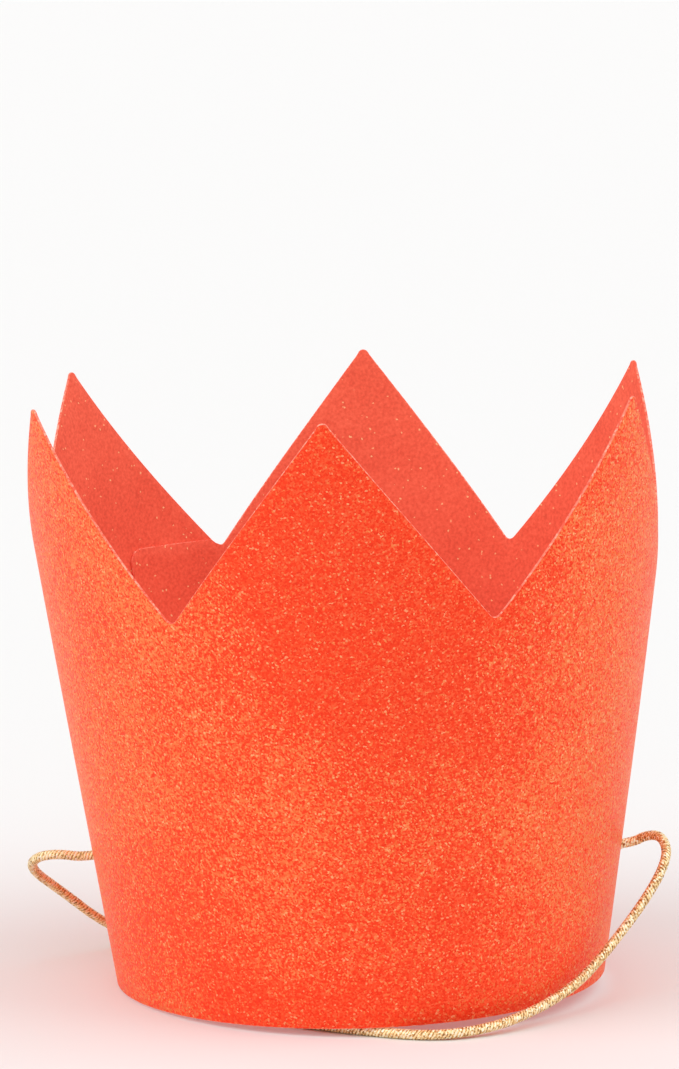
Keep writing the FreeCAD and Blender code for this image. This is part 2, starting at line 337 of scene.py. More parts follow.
@dataclass(frozen=True)
class Winding:
    """The flat thread that is wound round the elastic in close, slanting turns.

    Attributes:
        spacing: From one turn to the next along the cord.
        strands: Threads wound side by side.
        groove: Depth between two turns, as a share of the cord's radius.
    """

    spacing: float = 0.54 * MM
    strands: int = 4
    groove: float = 0.13

    def share(self, distance: np.ndarray, angle: np.ndarray) -> np.ndarray:
        """Share of the cord's full radius at a place on it.

        Args:
            distance: Distance along the cord.
            angle: Angle round it.

        Returns:
            The share, 1 on top of a thread.
        """
        phase = FULL_TURN * distance / self.spacing + self.strands * angle
        return 1 - self.groove * (1 - np.abs(np.sin(phase / 2)))


WINDING = Winding()


# Finishes


@dataclass(frozen=True)
class GlitterFinish:
    """Fine glitter bonded to the neon coral face of the card, with painted sparkle in its palest grains and
    a painted golden sheen, strongest at the crown's left and right.

    Attributes:
        grain: Width of a glitter grain.
        tilt: How far the grains lean from the card.
        drift: Width of each golden drift, a cloud with more golden grains that is partly random tone and
            partly painted golden sheen.
        drift_shift: Moves each drift, and the painted sheen with it, over the card.
        drift_start: Strength of the noise at which a drift starts.
        drift_full: Strength of the noise at which it is full.
        gold_least: Share of golden grains outside a drift.
        gold_most: Share of golden grains inside one.
        painted_sheen_at_sides: How much the drift clouds gather at the crown's left and right, as painted
            sheen.
        side_near: Distance to the side at which the painted sheen begins to gather.
        side_far: Distance to the side at which the painted sheen is full.
    """

    grain: float = 0.27 * MM
    tilt: float = 0.22
    drift: float = 42 * MM
    drift_shift: tuple[float, float, float] = (0.31, 0.12, 0.4)
    drift_start: float = 0.4
    drift_full: float = 0.66
    gold_least: float = 0.04
    gold_most: float = 0.6
    painted_sheen_at_sides: float = 0.12
    side_near: float = 16 * MM
    side_far: float = 40 * MM

    def material(self) -> bpy.types.Material:
        """Make the material.

        Returns:
            The glitter material.
        """
        material, nodes = new_material("coral_glitter")
        place = nodes.add("ShaderNodeTexCoord").outputs["Object"]
        random, shade, chance = nodes.grains(place, self.grain)
        # Most grains differ in tone at random; the palest coral and golden grains are painted sparkle, lit
        # grains set down as colour.
        coral = nodes.ramp(shade, [
            (0.0, linear(245, 54, 22)),
            (0.14, linear(250, 62, 28)),
            (0.45, linear(253, 76, 38)),
            (0.72, linear(254, 90, 50)),
            (0.90, linear(255, 108, 66)),
            (0.98, linear(255, 154, 108)),
        ], steps=True)
        golden = nodes.ramp(shade, [
            (0.0, linear(250, 108, 58)),
            (0.25, linear(252, 124, 70)),
            (0.65, linear(255, 140, 84)),
            (0.94, linear(255, 176, 120)),
        ], steps=True)

        # The golden drift clouds are partly random tone and partly painted golden sheen: they are moved to
        # where the glitter shines golden.
        shift = nodes.add("ShaderNodeMapping")
        shift.inputs["Location"].default_value = self.drift_shift
        nodes.link(place, shift.inputs["Vector"])
        golden_drifts_and_painted_sheen = nodes.noise(shift.outputs["Vector"], self.drift, detail=4.0, roughness=0.6)
        # Painted sheen: more golden grains towards the crown's left and right.
        split = nodes.add("ShaderNodeSeparateXYZ")
        nodes.link(place, split.inputs[0])
        to_side = nodes.math("ABSOLUTE", split.outputs["X"])
        painted_side_sheen = nodes.spread(to_side, self.side_near, self.side_far, 0.0, self.painted_sheen_at_sides)
        sheen_and_drift_strength = nodes.math("ADD", golden_drifts_and_painted_sheen, painted_side_sheen)
        share = nodes.spread(sheen_and_drift_strength, self.drift_start, self.drift_full, self.gold_least, self.gold_most)
        is_gold = nodes.math("LESS_THAN", chance, share)

        nodes.shader(
            Base_Color=nodes.mix(is_gold, coral, golden), Metallic=nodes.spread(is_gold, 0.0, 1.0, 0.1, 0.4),
            Roughness=0.42, Specular_IOR_Level=0.3, Specular_Tint=linear(255, 222, 196),
            Normal=nodes.lean(random, self.tilt),
        )
        return material


@dataclass(frozen=True)
class PrintedInsideFinish:
    """The card's plain inside: matt coral print over faint fibres, with a few stray grains of glitter.

    Attributes:
        fibre: Width of a clump of paper fibres.
        fibre_depth: How deep the fibres are.
        cloud: Width of the clouds in the print.
        cloud_depth: How much the clouds change the print.
        grain: Width of a stray grain.
        strays: Share of the surface that has stray grains.
    """

    fibre: float = 0.5 * MM
    fibre_depth: float = 0.03 * MM
    cloud: float = 11 * MM
    cloud_depth: float = 0.45
    grain: float = 0.27 * MM
    strays: float = 0.006

    def material(self) -> bpy.types.Material:
        """Make the material.

        Returns:
            The printed card material.
        """
        material, nodes = new_material("printed_inside")
        place = nodes.add("ShaderNodeTexCoord").outputs["Object"]
        fibres = nodes.noise(place, self.fibre, detail=6.0)
        clouds = nodes.noise(place, self.cloud, detail=3.0)
        clouded = nodes.math("MULTIPLY", nodes.math("SUBTRACT", clouds, 0.5), self.cloud_depth)
        print_colour = nodes.ramp(nodes.math("ADD", fibres, clouded), [
            (0.25, linear(226, 78, 50)),
            (0.5, linear(243, 96, 65)),
            (0.75, linear(253, 112, 80)),
        ])

        _, chance, _ = nodes.grains(place, self.grain)
        stray = nodes.math("LESS_THAN", chance, self.strays)
        colour = nodes.mix(stray, print_colour, linear(255, 196, 140))

        bump = nodes.add("ShaderNodeBump")
        bump.inputs["Strength"].default_value = 0.35
        bump.inputs["Distance"].default_value = self.fibre_depth
        nodes.link(fibres, bump.inputs["Height"])
        nodes.shader(Base_Color=colour, Roughness=0.72, Normal=bump.outputs["Normal"])
        return material


@dataclass(frozen=True)
class CutEdgeFinish:
    """The die-cut edge of the card: pale pink board with specks of glitter.

    Attributes:
        speck: Width of a speck.
    """

    speck: float = 0.35 * MM

    def material(self) -> bpy.types.Material:
        """Make the material.

        Returns:
            The cut edge material.
        """
        material, nodes = new_material("cut_edge")
        place = nodes.add("ShaderNodeTexCoord").outputs["Object"]
        _, shade, _ = nodes.grains(place, self.speck)
        colour = nodes.ramp(shade, [
            (0.0, linear(252, 96, 70)),
            (0.3, linear(255, 132, 108)),
            (0.8, linear(255, 168, 142)),
        ], steps=True)
        nodes.shader(Base_Color=colour, Roughness=0.8)
        return material


@dataclass(frozen=True)
class ElasticFinish:
    """Flat gold thread wound round the elastic, with painted highlights on the tops of its turns and on
    random stretches, and painted shade in the grooves between turns.

    Attributes:
        facet: Length of the stretches in which the flat thread catches the light, by leaning and by painted
            glints.
        tilt: How far those stretches lean.
        slack: How far the turns wander, in radians of a turn.
        slack_width: Length over which they wander.
        painted_crest_light: How much lighter the painted highlight on the top of a turn is than the painted
            shade in its grooves.
        painted_glint: How much the painted glints of the stretches differ.
    """

    facet: float = 0.3 * MM
    tilt: float = 0.35
    slack: float = 7.0
    slack_width: float = 0.9 * MM
    painted_crest_light: float = 0.65
    painted_glint: float = 0.9

    def material(self) -> bpy.types.Material:
        """Make the material, which reads metres along the cord and turns round it from the UV map.

        Returns:
            The metallic elastic material.
        """
        material, nodes = new_material("gold_elastic")
        coordinates = nodes.add("ShaderNodeTexCoord")
        split = nodes.add("ShaderNodeSeparateXYZ")
        nodes.link(coordinates.outputs["UV"], split.inputs[0])
        along = nodes.math("MULTIPLY", split.outputs["X"], FULL_TURN / WINDING.spacing)
        around = nodes.math("MULTIPLY", split.outputs["Y"], FULL_TURN * WINDING.strands)
        slack = nodes.noise(coordinates.outputs["Object"], self.slack_width)
        wander = nodes.math("MULTIPLY", nodes.math("SUBTRACT", slack, 0.5), self.slack)
        phase = nodes.math("ADD", nodes.math("ADD", along, around), wander)
        # raised is 1 on the top of a turn and 0 in a groove; it picks painted highlight on the tops and
        # painted shade in the grooves.
        raised = nodes.math("ABSOLUTE", nodes.math("SINE", nodes.math("MULTIPLY", phase, 0.5)))

        # Each stretch of thread gets a random lean and a random painted glint.
        random, chance, _ = nodes.grains(coordinates.outputs["Object"], self.facet)
        painted_glint = nodes.math("MULTIPLY", nodes.math("SUBTRACT", chance, 0.4), self.painted_glint)
        painted_light_pick = nodes.math("ADD", nodes.math("MULTIPLY", raised, self.painted_crest_light), painted_glint, clamp=True)
        # Dark gold is painted shade in the grooves; the palest gold is painted highlight on the tops and on
        # glinting stretches.
        colour = nodes.ramp(painted_light_pick, [
            (0.0, linear(150, 104, 56)),
            (0.25, linear(216, 168, 102)),
            (0.5, linear(248, 210, 144)),
            (0.75, linear(255, 238, 188)),
            (1.0, linear(255, 250, 224)),
        ])
        nodes.shader(
            Base_Color=colour, Metallic=0.25, Roughness=0.34, Normal=nodes.lean(random, self.tilt),
        )
        return material


# The crown's place on the surface


@dataclass(frozen=True)
class Stance:
    """How the crown stands: its rim on the cord at two crossings and on the surface at one place.

    Attributes:
        base_radius: Outside of the lower rim.
        cord_diameter: The elastic cord.
        clearance: Between touching pieces.
        front_crossing: Bearing at which the cord comes out under the rim.
        back_crossing: Bearing at which the cord goes in under the rim.
        front_bearing: Bearing of the foremost point.
        pitch: Angle between two points.
    """

    base_radius: float
    cord_diameter: float
    clearance: float = 0.05 * MM
    front_crossing: float = 6.0
    back_crossing: float = 140.0
    front_bearing: float = -3.74
    pitch: float = 60.0

    def matrix(self) -> Matrix:
        """Work out the move from the crown's own frame to the surface.

        Returns:
            The 4 by 4 matrix.
        """
        half = math.radians((self.back_crossing - self.front_crossing) / 2)
        lift = (self.cord_diameter + self.clearance) / (1 + math.cos(half))
        raised = direction((self.front_crossing + self.back_crossing) / 2)
        lean = Matrix.Rotation(math.asin(lift / self.base_radius), 4, raised.cross(UP))
        turn = self.seam_bearing() - math.pi / 2
        return Matrix.Translation((0.0, 0.0, lift)) @ lean @ Matrix.Rotation(turn, 4, UP)

    def seam_bearing(self) -> float:
        """Bearing of the seam, in radians."""
        return math.radians(self.front_bearing - 2.5 * self.pitch)


# Crown wall


@dataclass
class CrownWall:
    """One die-cut card, rolled into a flared ring with its end over a glued flap.

    Attributes:
        base_radius: Outside of the lower rim.
        flare: Slope of the wall from the vertical, in radians.
        card: Thickness of the card.
        points: Points round the crown.
        point_height: Lower rim to the tips.
        valley_height: Lower rim to the bottom of a notch.
        point_round: Rounding of a tip.
        valley_round: Rounding at the bottom of a notch.
        flap_angle: Width of the flap, in radians.
        flap_rise: The flap's upper edge above the bottom of a notch.
        flap_corner: Rounding of the flap's upper corner.
        seam_run: Stretch over which the card steps in under its own end, in radians.
        glue_gap: Between the two layers at the seam.
        lean_left: How far the tips lean to the left.
        oval: How much narrower than round the ring is at the height of the tips.
        wave: How far the tips stray from that oval.
        round_height: Height below which the ring is truly round.
        edge_wear: Worn corner along the cut edges, where the board shows.
        hole_radius: Punched cord hole.
        hole_height: Lower rim to the middle of a hole.
        hole_sides: Faces round a hole.
        columns: Columns of faces along half a point.
        crowding: How close together the columns are at the tips and notches, 1 at most.
        flap_columns: Columns of faces along the flap.
        rows: Rows of faces up the card.
    """

    base_radius: float = 39.5 * MM
    flare: float = math.radians(8.67)
    card: float = 0.4 * MM
    points: int = 6
    point_height: float = 95.8 * MM
    valley_height: float = 64.4 * MM
    point_round: float = 1.0 * MM
    valley_round: float = 1.2 * MM
    flap_angle: float = math.radians(22)
    flap_rise: float = 1.0 * MM
    flap_corner: float = 2.5 * MM
    seam_run: float = math.radians(60)
    glue_gap: float = 0.02 * MM
    lean_left: float = 0.5 * MM
    oval: float = 0.6 * MM
    wave: float = 0.2 * MM
    round_height: float = 30 * MM
    edge_wear: float = 0.11 * MM
    hole_radius: float = 1.4 * MM
    hole_height: float = 20 * MM
    hole_sides: int = 32
    columns: int = 40
    crowding: float = 0.88
    flap_columns: int = 36
    rows: int = 28

    @property
    def half_pitch(self) -> float:
        """Angle from the bottom of a notch to the next tip."""
        return math.pi / self.points

    @property
    def step(self) -> float:
        """Thickness of the card, measured level."""
        return self.card / math.cos(self.flare)

    def radius(self, height: float) -> float:
        """Outside radius of the ring at a height."""
        return self.base_radius + height * math.tan(self.flare)

    def edge_height(self, angle: float) -> float:
        """Find the card's upper edge.

        The cuts are straight on the flat card, so they are worked out on the unrolled cone, and
        then rounded at the tip and at the bottom.

        Args:
            angle: Angle round the crown from the bottom of a notch.

        Returns:
            The height of the edge above the lower rim.
        """
        turn = angle % (2 * self.half_pitch)
        turn = min(turn, 2 * self.half_pitch - turn)
        sine, tangent = math.sin(self.flare), math.tan(self.flare)
        width = self.radius(self.point_height) * self.half_pitch
        rise = math.atan2(self.point_height - self.valley_height, width)
        cut_short = 1 / math.cos(rise) - 1
        low = self.radius(self.valley_height - self.valley_round * cut_short) / sine
        high = self.radius(self.point_height + self.point_round * cut_short) / sine
        whole, part = self.half_pitch * sine, turn * sine
        slant = low * high * math.sin(whole) / (low * math.sin(part) + high * math.sin(whole - part))
        height = (slant * sine - self.base_radius) / tangent
        from_valley, from_tip = slant * part, slant * (whole - part)
        if from_valley < self.valley_round * math.sin(rise):
            drop = math.sqrt(self.valley_round ** 2 - from_valley ** 2)
            height = self.valley_height + self.valley_round - drop
        if from_tip < self.point_round * math.sin(rise):
            swell = math.sqrt(self.point_round ** 2 - from_tip ** 2)
            height = self.point_height - self.point_round + swell
        return height

    def flap_height(self, angle: float) -> float:
        """Upper edge of the flap, with its outer corner rounded.

        Args:
            angle: Angle from the seam.

        Returns:
            The height of the edge above the lower rim.
        """
        top = self.valley_height + self.flap_rise
        to_end = (self.flap_angle - angle) * self.radius(top)
        if to_end < self.flap_corner:
            inward = self.flap_corner - to_end
            top -= self.flap_corner - math.sqrt(max(self.flap_corner ** 2 - inward ** 2, 0.0))
        return min(top, self.edge_height(angle))

    def column_angles(self) -> list[float]:
        """Angles of the card's columns, close together at the tips and notches.

        Returns:
            Every column's angle from the seam, the flap's past a full turn.
        """
        angles = []
        for half in range(2 * self.points):
            for column in range(self.columns):
                share = column / self.columns
                eased = share - self.crowding * math.sin(FULL_TURN * share) / FULL_TURN
                angles.append((half + eased) * self.half_pitch)
        for column in range(self.flap_columns + 1):
            share = column / self.flap_columns
            angles.append(FULL_TURN + self.flap_angle * math.sin(share * math.pi / 2))
        return angles

    def stray(self, bearing: float, height: float) -> float:
        """How far the hand-rolled ring strays from round.

        Args:
            bearing: Bearing of the place, in radians.
            height: Height above the lower rim.

        Returns:
            The distance outwards.
        """
        share = max(height - self.round_height, 0.0) / (self.point_height - self.round_height)
        at_tips = self.wave * math.cos(3 * bearing + 1) - self.lean_left * math.sin(bearing)
        return share * share * (at_tips + self.oval * math.cos(2 * bearing))

    def place(self, angle: float, height: float, seam: float) -> Vector:
        """Place of the card's outer face in the crown's own frame.

        Args:
            angle: Angle from the seam, past a full turn on the flap.
            height: Height above the lower rim.
            seam: Bearing of the seam, in radians.

        Returns:
            The point.
        """
        radius = self.radius(height) + self.stray(seam + angle, height)
        bend = FULL_TURN - self.seam_run
        if angle > FULL_TURN:
            radius -= self.step + self.glue_gap
        elif angle > bend:
            eased = (1 - math.cos(angle - bend)) / (1 - math.cos(self.seam_run))
            radius -= (self.step + self.glue_gap) * eased
        return Vector((radius * math.cos(angle), radius * math.sin(angle), height))

    def build(self, stance: Matrix, seam: float, finishes: Sequence[bpy.types.Material]) -> bpy.types.Object:
        """Make the rolled card from a flat grid.

        Args:
            stance: The crown's place on the surface.
            seam: Bearing of the seam, in radians.
            finishes: The finishes, in the order of CardFace.

        Returns:
            The finished wall.
        """
        angles = self.column_angles()
        deselect_all()
        bpy.ops.mesh.primitive_grid_add(x_subdivisions=len(angles) - 1, y_subdivisions=self.rows, size=2)
        wall = bpy.context.object
        wall.name = "glitter_card_wall"
        for vertex in wall.data.vertices:
            column = round((vertex.co.x + 1) / 2 * (len(angles) - 1))
            share = (vertex.co.y + 1) / 2
            angle = angles[column]
            on_flap = angle > FULL_TURN
            top = self.flap_height(angle - FULL_TURN) if on_flap else self.edge_height(angle)
            vertex.co = stance @ self.place(angle, share * top, seam)
        for finish in finishes:
            wall.data.materials.append(finish)
        apply_modifier(
            wall, "SOLIDIFY", thickness=self.card, offset=-1.0, use_even_offset=True, use_rim=True,
            material_offset=CardFace.INSIDE, material_offset_rim=CardFace.CUT,
        )
        apply_modifier(
            wall, "BEVEL", width=self.edge_wear, segments=2, limit_method="ANGLE",
            angle_limit=math.radians(50), use_clamp_overlap=False, material=CardFace.CUT,
        )
        self.punch_holes(wall, stance)
        make_active(wall)
        bpy.ops.object.shade_smooth_by_angle(angle=math.radians(30))
        return wall

    def hole_frame(self, hole: Hole, stance: Matrix) -> tuple[Vector, Vector]:
        """Find a cord hole.

        Args:
            hole: Which hole.
            stance: The crown's place on the surface.

        Returns:
            The hole's middle on the card's inside, and the card's outward normal there.
        """
        angle = 2 * self.half_pitch + math.pi * hole
        radius = self.radius(self.hole_height) - self.step
        middle = Vector((radius * math.cos(angle), radius * math.sin(angle), self.hole_height))
        level = math.cos(self.flare)
        normal = Vector((level * math.cos(angle), level * math.sin(angle), -math.sin(self.flare)))
        return stance @ middle, stance.to_3x3() @ normal

    def punch_holes(self, wall: bpy.types.Object, stance: Matrix) -> None:
        """Cut the two cord holes through the card.

        Args:
            wall: The wall with its thickness.
            stance: The crown's place on the surface.
        """
        for hole in Hole:
            middle, normal = self.hole_frame(hole, stance)
            punch_length = 12 * self.card
            deselect_all()
            bpy.ops.mesh.primitive_cylinder_add(
                vertices=self.hole_sides, radius=self.hole_radius, depth=punch_length, location=middle,
                rotation=normal.to_track_quat("Z", "Y").to_euler(),
            )
            punch = bpy.context.object
            punch.data.materials.append(wall.data.materials[CardFace.CUT])
            apply_modifier(wall, "BOOLEAN", object=punch, operation="DIFFERENCE", solver="EXACT")
            bpy.data.objects.remove(punch)


# Cord and knots


def smooth_line(points: Points) -> np.ndarray:
    """Follow a smooth line through the control points of a NURBS spline.

    Args:
        points: The spline's control points.

    Returns:
        Close points along the spline.
    """
    curve = bpy.data.curves.new("line", "CURVE")
    curve.dimensions = "3D"
    curve.resolution_u = 32
    spline = curve.splines.new("NURBS")
    spline.points.add(len(points) - 1)
    for control, place in zip(spline.points, points):
        control.co = (*place, 1.0)
    spline.order_u = 3
    spline.use_endpoint_u = True
    guide = bpy.data.objects.new("line", curve)
    mesh = bpy.data.meshes.new_from_object(guide)
    line = np.array([vertex.co for vertex in mesh.vertices])
    bpy.data.objects.remove(guide)
    bpy.data.curves.remove(curve)
    bpy.data.meshes.remove(mesh)
    return line


def evenly(line: np.ndarray, spacing: float) -> tuple[np.ndarray, np.ndarray]:
    """Space points evenly along a line.

    Args:
        line: Points along the line.
        spacing: The wanted distance between two points.

    Returns:
        The new points, and each one's distance along the line.
    """
    runs = np.linalg.norm(np.diff(line, axis=0), axis=1)
    along = np.concatenate([[0.0], np.cumsum(runs)])
    count = max(int(round(along[-1] / spacing)), 2)
    wanted = np.linspace(0.0, along[-1], count + 1)
    return np.stack([np.interp(wanted, along, line[:, axis]) for axis in range(3)], axis=1), wanted


def sweep(
    name: str,
    centres: np.ndarray,
    along: np.ndarray,
    sides: int,
    radius: Callable[[np.ndarray, np.ndarray], np.ndarray],
    finish: bpy.types.Material,
) -> bpy.types.Object:
    """Sweep a closed tube along a line, with a UV map in metres along it and turns round it.

    Args:
        name: The piece's name.
        centres: The rings' centres.
        along: Each centre's distance along the line.
        sides: Points round a ring.
        radius: Gives each point's radius from its distance along and its angle round.
        finish: The piece's material.

    Returns:
        The tube.
    """
    unlike_any_start = (0.3, 0.2, 0.93)
    tangents = np.gradient(centres, axis=0)
    tangents /= np.linalg.norm(tangents, axis=1)[:, None]
    sideways = np.cross(tangents[0], unlike_any_start)
    first_axes = []
    for tangent in tangents:
        sideways = sideways - tangent * np.dot(sideways, tangent)
        sideways = sideways / np.linalg.norm(sideways)
        first_axes.append(sideways)
    first = np.array(first_axes)
    second = np.cross(tangents, first)
    angles = np.arange(sides) * FULL_TURN / sides
    radii = radius(along[:, None], angles[None, :])
    across = first[:, None, :] * np.cos(angles)[None, :, None]
    upward = second[:, None, :] * np.sin(angles)[None, :, None]
    places = (centres[:, None, :] + (across + upward) * radii[:, :, None]).reshape(-1, 3)

    faces = []
    for row in range(len(centres) - 1):
        for side in range(sides):
            start, after = row * sides + side, row * sides + (side + 1) % sides
            faces.append((start, after, after + sides, start + sides))
    last = (len(centres) - 1) * sides
    faces.append(tuple(reversed(range(sides))))
    faces.append(tuple(range(last, last + sides)))
    mesh = bpy.data.meshes.new(name)
    mesh.from_pydata(places.tolist(), [], faces)

    layer = mesh.uv_layers.new(name="length_and_round")
    for row_face, polygon in zip(faces, mesh.polygons):
        wraps = len(row_face) == 4 and row_face[1] % sides == 0
        for corner, vertex in zip(polygon.loop_indices, row_face):
            share = (vertex % sides) / sides
            if wraps and vertex % sides == 0:
                share = 1.0
            layer.data[corner].uv = (along[vertex // sides], share)
    mesh.materials.append(finish)
    tube = bpy.data.objects.new(name, mesh)
    bpy.context.collection.objects.link(tube)
    make_active(tube)
    bpy.ops.object.shade_smooth_by_angle(angle=math.radians(60))
    return tube


@dataclass
class Knot:
    """Overhand knot that stops the cord inside its hole, with a short cut tail.

    Attributes:
        loop: Scale of the knot's three lobes.
        thread_radius: Radius of the cord where the knot squeezes it.
        cord_radius: Radius of the cord at its tail.
        stop_radius: Radius of the solid that stands for the knot.
        face_radius: Radius of that solid's flat, where the cord leaves it.
        clearance: Between the knot and its hole.
        squeeze_run: Stretch over which the cord thins or fills out.
        tail_length: Length of the tail, from where the cord starts to fill out.
        spacing: Distance between two rings of the tube.
        sides: Points round a ring.
        gap_angle: Angle of the closed three-lobed curve that is left open for the two ends.
        lobe_points: Control points round the lobes.
    """

    loop: float = 0.55 * MM
    thread_radius: float = 0.56 * MM
    cord_radius: float = 0.78 * MM
    stop_radius: float = 1.9 * MM
    face_radius: float = 1.0 * MM
    clearance: float = 0.05 * MM
    squeeze_run: float = 2.0 * MM
    tail_length: float = 4.2 * MM
    spacing: float = 0.1 * MM
    sides: int = 24
    gap_angle: float = 0.84
    lobe_points: int = 25

    # The ends' control points, in widths of the loop: sideways, up and out of the hole.
    LEAD_IN: ClassVar[Points] = ((0.0, -0.1, 3.2), (0.0, -0.5, 2.2), (0.1, -0.9, 1.2))
    TAIL: ClassVar[Points] = (
        (-0.3, -1.0, -1.6),
        (-0.5, -1.4, -3.4),
        (-0.2, -2.6, -5.4),
        (0.6, -4.6, -7.0),
        (1.2, -6.6, -7.8),
    )

    def centre(self, wall: CrownWall, hole: Hole, stance: Matrix) -> Vector:
        """Middle of the knot, seated on the edge of its hole."""
        middle, normal = wall.hole_frame(hole, stance)
        seat = math.sqrt(self.stop_radius ** 2 - wall.hole_radius ** 2)
        return middle - normal * (seat + self.clearance)

    def cord_end(self, centre: Vector, towards: Vector) -> Vector:
        """Where the cord leaves the knot."""
        level = math.sqrt(self.stop_radius ** 2 - self.face_radius ** 2)
        return centre + (towards - centre).normalized() * level

    def control_points(self) -> list[Vector]:
        """Control points of the tied cord, in widths of the loop.

        Returns:
            The points: sideways, up and out of the hole.
        """
        points = [Vector(point) for point in self.LEAD_IN]
        for number in range(self.lobe_points):
            angle = self.gap_angle / 2 + (FULL_TURN - self.gap_angle) * number / (self.lobe_points - 1)
            points.append(Vector((
                math.sin(angle) + 2 * math.sin(2 * angle),
                math.cos(angle) - 2 * math.cos(2 * angle),
                -math.sin(3 * angle),
            )))
        return points + [Vector(point) for point in self.TAIL]

    def build(
        self, name: str, centre: Vector, towards: Vector, finish: bpy.types.Material,
    ) -> bpy.types.Object:
        """Make the knot.

        Args:
            name: The piece's name.
            centre: Middle of the knot.
            towards: The first point of the cord's route.
            finish: The elastic's material.

        Returns:
            The knot with its tail.
        """
        out = (towards - centre).normalized()
        level = UP.cross(out).normalized()
        upright = out.cross(level)
        turn = Matrix((level, upright, out)).transposed()
        line = smooth_line([centre + turn @ (point * self.loop) for point in self.control_points()])
        centres, along = evenly(line, self.spacing)
        tail = along[-1] - self.tail_length

        def radius(distance: np.ndarray, angle: np.ndarray) -> np.ndarray:
            """Radius of the wound cord, which the knot squeezes and its tail fills out again.

            Args:
                distance: Distance along the cord.
                angle: Angle round it.

            Returns:
                The radius.
            """
            entering = np.clip(distance / self.squeeze_run, 0.0, 1.0)
            leaving = np.clip((distance - tail) / self.squeeze_run, 0.0, 1.0)
            squeezed = np.minimum(entering, 1 - leaving)
            smooth = squeezed * squeezed * (3 - 2 * squeezed)
            plain = self.cord_radius + (self.thread_radius - self.cord_radius) * smooth
            return plain * WINDING.share(distance, angle)

        return sweep(name, centres, along, self.sides, radius, finish)


@dataclass
class ElasticCord:
    """The cord, from the left hole round the back, under the rim and up to the right hole.

    Attributes:
        length: Length between the two knots.
        diameter: The cord's diameter.
        spacing: Distance between two rings of the tube.
        sides: Points round a ring.
    """

    length: float = 314 * MM
    diameter: float = 1.6 * MM
    spacing: float = 0.1 * MM
    sides: int = 24

    # Each point gives x and y, and the height of the cord's underside, in millimetres.
    ROUTE: ClassVar[Points] = (
        (-45.4, 3.0, 18.7),
        (-48.9, 3.1, 19.2),
        (-52.2, 4.3, 18.6),
        (-53.8, 7.4, 16.8),
        (-53.4, 11.4, 14.4),
        (-51.2, 15.0, 11.8),
        (-48.0, 17.4, 8.8),
        (-44.2, 19.6, 5.2),
        (-39.6, 23.2, 1.7),
        (-33.8, 29.4, 0.0),
        (-26.4, 36.4, 0.0),
        (-16.8, 42.4, 0.0),
        (-5.6, 46.8, 0.0),
        (6.4, 49.0, 0.0),
        (17.6, 48.6, 0.0),
        (25.8, 44.2, 0.0),
        (28.0, 35.8, 0.0),
        (22.8, 24.7, 0.0),
        (14.6, 15.2, 0.0),
        (3.5, 9.5, 0.0),
        (-9.5, 5.5, 0.0),
        (-20.0, -1.4, 0.0),
        (-24.6, -12.5, 0.0),
        (-20.5, -23.5, 0.0),
        (-12.0, -31.4, 0.0),
        (-2.4, -36.8, 0.0),
        (10.6, -41.7, 0.0),
        (20.2, -38.0, 0.5),
        (27.8, -31.4, 2.0),
        (33.8, -24.6, 4.2),
        (38.0, -19.8, 7.5),
        (42.0, -17.0, 11.9),
        (45.4, -15.0, 16.2),
        (47.9, -12.6, 20.0),
        (48.9, -9.2, 22.4),
        (48.0, -6.0, 24.1),
        (45.8, -3.6, 23.6),
        (43.8, -2.7, 22.3),
    )

    def route(self) -> list[Vector]:
        """Middle of the cord at each point of its route."""
        return [Vector(point) * MM + UP * (self.diameter / 2) for point in self.ROUTE]

    def build(
        self, start: Vector, end: Vector, finish: bpy.types.Material,
    ) -> tuple[bpy.types.Object, np.ndarray, float]:
        """Make the wound cord.

        Args:
            start: Where the cord leaves its left knot.
            end: Where it reaches its right knot.
            finish: The elastic's material.

        Returns:
            The cord, its centre line and its length.
        """
        centres, along = evenly(smooth_line([start, *self.route(), end]), self.spacing)
        full = self.diameter / 2
        cord = sweep(
            "wound_elastic", centres, along, self.sides,
            lambda distance, angle: full * WINDING.share(distance, angle), finish,
        )
        return cord, centres, float(along[-1])


# Studio


@dataclass(frozen=True)
class SoftLamp:
    """A soft, distant lamp.

    Attributes:
        name: The lamp's name.
        strength: Its strength.
        spread: Its width in the sky, in degrees.
        bearing: The bearing that it shines from, in degrees.
        height: Its height above the floor, in degrees.
    """

    name: str
    strength: float
    spread: float
    bearing: float
    height: float

    def build(self) -> None:
        """Put up the lamp."""
        data = bpy.data.lights.new(self.name, "SUN")
        data.energy = self.strength
        data.angle = math.radians(self.spread)
        lamp = bpy.data.objects.new(self.name, data)
        rise = math.radians(self.height)
        source = direction(self.bearing) * math.cos(rise) + UP * math.sin(rise)
        lamp.rotation_euler = source.to_track_quat("Z", "Y").to_euler()
        bpy.context.collection.objects.link(lamp)


